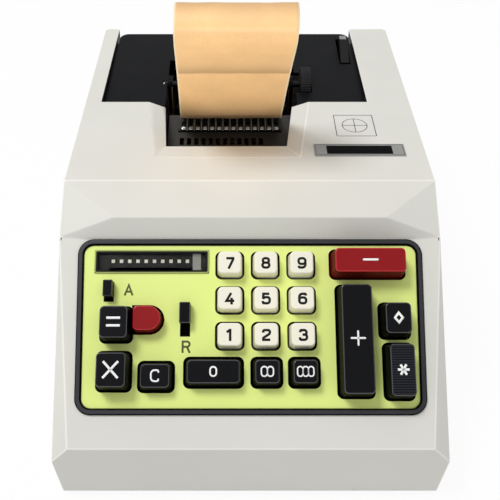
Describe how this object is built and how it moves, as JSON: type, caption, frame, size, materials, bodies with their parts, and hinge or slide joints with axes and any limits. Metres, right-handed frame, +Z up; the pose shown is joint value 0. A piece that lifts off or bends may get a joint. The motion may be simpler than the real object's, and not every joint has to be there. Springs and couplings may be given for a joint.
{
  "type": "printing adding machine",
  "caption": "Desk adding machine with a sloped ten-key keyboard, digit indicator, print window, paper roll, platen with thumb wheel and lift-off rear cover.",
  "frame": {"origin": "centre of the bounding box at the bottom of the rubber feet", "axes": "+X to the right as the operator sees it, +Y to the rear, +Z up"},
  "size_m": [0.23, 0.347, 0.2397],
  "materials": {
    "housing_grey": "satin moulded",
    "black_cover": "fine satin",
    "bezel_black": "satin",
    "plate_green": "matt enamel",
    "key_cream": "soft gloss",
    "key_black": "soft gloss",
    "key_crimson": "soft gloss",
    "marker_grey": "matt",
    "scale_black": "matt",
    "lens_clear": "clear",
    "steel_plain": "bright zinc",
    "steel_dark": "blackened",
    "print_bronze": "dull",
    "bar_silver": "bright",
    "platen_rubber": "matt",
    "paper_tan": "kraft paper",
    "motor_grey": "hammered",
    "spool_black": "satin",
    "pin_brass": "bright",
    "plate_silver": "brushed"
  },
  "bodies": {
    "machine": {"base_pan": "steel_plain", "base_screws": "steel_plain", "drive_motor": "motor_grey", "emblem_plate": "plate_silver", "guide_plate": "steel_plain", "housing_shell": "housing_grey", "indicator_frame": "bezel_black", "indicator_lens": "lens_clear", "indicator_scale": "scale_black", "inlet_pins": "pin_brass", "key_springs": "steel_plain", "keyboard_bezel": "bezel_black", "keyboard_plate": "plate_green", "lever_bracket": "steel_dark", "motor_mount": "steel_dark", "name_insert": "scale_black", "name_plate": "plate_silver", "paper_strip": "paper_tan", "power_inlet": "spool_black", "print_plate": "print_bronze", "roll_spindle": "steel_plain", "rubber_feet": "platen_rubber", "side_frame_left": "steel_dark", "side_frame_right": "steel_dark", "tear_bar": "bar_silver", "tie_rods": "steel_plain"},
    "key_7": {"key_7": "key_cream"},
    "key_8": {"key_8": "key_cream"},
    "key_9": {"key_9": "key_cream"},
    "key_4": {"key_4": "key_cream"},
    "key_5": {"key_5": "key_cream"},
    "key_6": {"key_6": "key_cream"},
    "key_1": {"key_1": "key_cream"},
    "key_2": {"key_2": "key_cream"},
    "key_3": {"key_3": "key_cream"},
    "key_equals": {"key_equals": "key_black"},
    "key_times": {"key_times": "key_black"},
    "key_clear": {"key_clear": "key_black"},
    "key_0": {"key_0": "key_black"},
    "key_00": {"key_00": "key_black"},
    "key_000": {"key_000": "key_black"},
    "key_minus": {"key_minus": "key_crimson"},
    "key_plus": {"key_plus": "key_black"},
    "key_subtotal": {"key_subtotal": "key_black"},
    "key_total": {"key_total": "key_black"},
    "key_red": {"key_red": "key_crimson"},
    "slider_a": {"slider_a": "key_black"},
    "slider_r": {"slider_r": "key_black"},
    "marker": {"indicator_marker": "marker_grey"},
    "cover": {"rear_cover": "black_cover"},
    "platen": {"platen_roller": "platen_rubber", "platen_shaft": "steel_plain", "paper_knob": "black_cover"},
    "supply_roll": {"paper_roll": "paper_tan"},
    "release_lever": {"release_lever": "black_cover"},
    "type_wheels": {"type_wheels": "steel_plain"},
    "main_shaft": {"drive_gear": "steel_plain"},
    "motor_rotor": {"motor_pinion": "steel_plain"},
    "spool_left": {"ribbon_spool_left": "spool_black"},
    "spool_right": {"ribbon_spool_right": "spool_black"}
  },
  "joints": [
    {"name": "key_7_press", "type": "slide", "parent": "machine", "child": "key_7", "axis": [0, 0.5857, -0.8106], "range_m": [0, 0.004], "stiffness_N_per_m": 300, "springref_m": -0.002, "deforming": ["key_springs"]},
    {"name": "key_8_press", "type": "slide", "parent": "machine", "child": "key_8", "axis": [0, 0.5857, -0.8106], "range_m": [0, 0.004], "stiffness_N_per_m": 300, "springref_m": -0.002, "deforming": ["key_springs"]},
    {"name": "key_9_press", "type": "slide", "parent": "machine", "child": "key_9", "axis": [0, 0.5857, -0.8106], "range_m": [0, 0.004], "stiffness_N_per_m": 300, "springref_m": -0.002, "deforming": ["key_springs"]},
    {"name": "key_4_press", "type": "slide", "parent": "machine", "child": "key_4", "axis": [0, 0.5857, -0.8106], "range_m": [0, 0.004], "stiffness_N_per_m": 300, "springref_m": -0.002, "deforming": ["key_springs"]},
    {"name": "key_5_press", "type": "slide", "parent": "machine", "child": "key_5", "axis": [0, 0.5857, -0.8106], "range_m": [0, 0.004], "stiffness_N_per_m": 300, "springref_m": -0.002, "deforming": ["key_springs"]},
    {"name": "key_6_press", "type": "slide", "parent": "machine", "child": "key_6", "axis": [0, 0.5857, -0.8106], "range_m": [0, 0.004], "stiffness_N_per_m": 300, "springref_m": -0.002, "deforming": ["key_springs"]},
    {"name": "key_1_press", "type": "slide", "parent": "machine", "child": "key_1", "axis": [0, 0.5857, -0.8106], "range_m": [0, 0.004], "stiffness_N_per_m": 300, "springref_m": -0.002, "deforming": ["key_springs"]},
    {"name": "key_2_press", "type": "slide", "parent": "machine", "child": "key_2", "axis": [0, 0.5857, -0.8106], "range_m": [0, 0.004], "stiffness_N_per_m": 300, "springref_m": -0.002, "deforming": ["key_springs"]},
    {"name": "key_3_press", "type": "slide", "parent": "machine", "child": "key_3", "axis": [0, 0.5857, -0.8106], "range_m": [0, 0.004], "stiffness_N_per_m": 300, "springref_m": -0.002, "deforming": ["key_springs"]},
    {"name": "key_equals_press", "type": "slide", "parent": "machine", "child": "key_equals", "axis": [0, 0.5857, -0.8106], "range_m": [0, 0.004], "stiffness_N_per_m": 300, "springref_m": -0.002, "deforming": ["key_springs"]},
    {"name": "key_times_press", "type": "slide", "parent": "machine", "child": "key_times", "axis": [0, 0.5857, -0.8106], "range_m": [0, 0.004], "stiffness_N_per_m": 300, "springref_m": -0.002, "deforming": ["key_springs"]},
    {"name": "key_clear_press", "type": "slide", "parent": "machine", "child": "key_clear", "axis": [0, 0.5857, -0.8106], "range_m": [0, 0.004], "stiffness_N_per_m": 300, "springref_m": -0.002, "deforming": ["key_springs"]},
    {"name": "key_0_press", "type": "slide", "parent": "machine", "child": "key_0", "axis": [0, 0.5857, -0.8106], "range_m": [0, 0.004], "stiffness_N_per_m": 300, "springref_m": -0.002, "deforming": ["key_springs"]},
    {"name": "key_00_press", "type": "slide", "parent": "machine", "child": "key_00", "axis": [0, 0.5857, -0.8106], "range_m": [0, 0.004], "stiffness_N_per_m": 300, "springref_m": -0.002, "deforming": ["key_springs"]},
    {"name": "key_000_press", "type": "slide", "parent": "machine", "child": "key_000", "axis": [0, 0.5857, -0.8106], "range_m": [0, 0.004], "stiffness_N_per_m": 300, "springref_m": -0.002, "deforming": ["key_springs"]},
    {"name": "key_minus_press", "type": "slide", "parent": "machine", "child": "key_minus", "axis": [0, 0.5857, -0.8106], "range_m": [0, 0.004], "stiffness_N_per_m": 300, "springref_m": -0.002, "deforming": ["key_springs"]},
    {"name": "key_plus_press", "type": "slide", "parent": "machine", "child": "key_plus", "axis": [0, 0.5857, -0.8106], "range_m": [0, 0.004], "stiffness_N_per_m": 300, "springref_m": -0.002, "deforming": ["key_springs"]},
    {"name": "key_subtotal_press", "type": "slide", "parent": "machine", "child": "key_subtotal", "axis": [0, 0.5857, -0.8106], "range_m": [0, 0.004], "stiffness_N_per_m": 300, "springref_m": -0.002, "deforming": ["key_springs"]},
    {"name": "key_total_press", "type": "slide", "parent": "machine", "child": "key_total", "axis": [0, 0.5857, -0.8106], "range_m": [0, 0.004], "stiffness_N_per_m": 300, "springref_m": -0.002, "deforming": ["key_springs"]},
    {"name": "key_red_press", "type": "slide", "parent": "machine", "child": "key_red", "axis": [0, 0.5857, -0.8106], "range_m": [0, 0.004], "stiffness_N_per_m": 300, "springref_m": -0.002, "deforming": ["key_springs"]},
    {"name": "slider_a_shift", "type": "slide", "parent": "machine", "child": "slider_a", "axis": [0, -0.8106, -0.5857], "range_m": [0, 0.0024]},
    {"name": "slider_r_shift", "type": "slide", "parent": "machine", "child": "slider_r", "axis": [0, -0.8106, -0.5857], "range_m": [0, 0.0073]},
    {"name": "marker_step", "type": "slide", "parent": "machine", "child": "marker", "axis": [-1, 0, 0], "range_m": [0, 0.0495]},
    {"name": "cover_lift", "type": "slide", "parent": "machine", "child": "cover", "axis": [0, 0, 1], "range_m": [0, 0.05]},
    {"name": "platen_turn", "type": "hinge", "parent": "machine", "child": "platen", "pos_m": [0, 0.0905, 0.132], "axis": [1, 0, 0], "continuous": true},
    {"name": "supply_roll_turn", "type": "hinge", "parent": "machine", "child": "supply_roll", "pos_m": [0, 0.1265, 0.09], "axis": [1, 0, 0], "continuous": true},
    {"name": "release_lever_tilt", "type": "hinge", "parent": "machine", "child": "release_lever", "pos_m": [0.0766, 0.1245, 0.12], "axis": [1, 0, 0], "range_deg": [-14, 0]},
    {"name": "main_shaft_turn", "type": "hinge", "parent": "machine", "child": "main_shaft", "pos_m": [0, 0.0625, 0.058], "axis": [1, 0, 0], "continuous": true},
    {"name": "motor_turn", "type": "hinge", "parent": "machine", "child": "motor_rotor", "pos_m": [0, 0.0325, 0.058], "axis": [1, 0, 0], "continuous": true},
    {"name": "type_wheels_turn", "type": "hinge", "parent": "machine", "child": "type_wheels", "pos_m": [0, 0.0415, 0.096], "axis": [1, 0, 0], "continuous": true},
    {"name": "spool_left_turn", "type": "hinge", "parent": "machine", "child": "spool_left", "pos_m": [-0.082, 0.0325, 0.112], "axis": [0, 0, 1], "continuous": true},
    {"name": "spool_right_turn", "type": "hinge", "parent": "machine", "child": "spool_right", "pos_m": [0.056, 0.0325, 0.112], "axis": [0, 0, 1], "continuous": true}
  ],
  "couplings": [
    {"joint": "supply_roll_turn", "follows": "platen_turn", "ratio": 0.4667},
    {"joint": "motor_turn", "follows": "main_shaft_turn", "ratio": -4},
    {"joint": "type_wheels_turn", "follows": "main_shaft_turn", "ratio": -1},
    {"joint": "spool_left_turn", "follows": "main_shaft_turn", "ratio": 0.1},
    {"joint": "spool_right_turn", "follows": "main_shaft_turn", "ratio": 0.1}
  ]
}
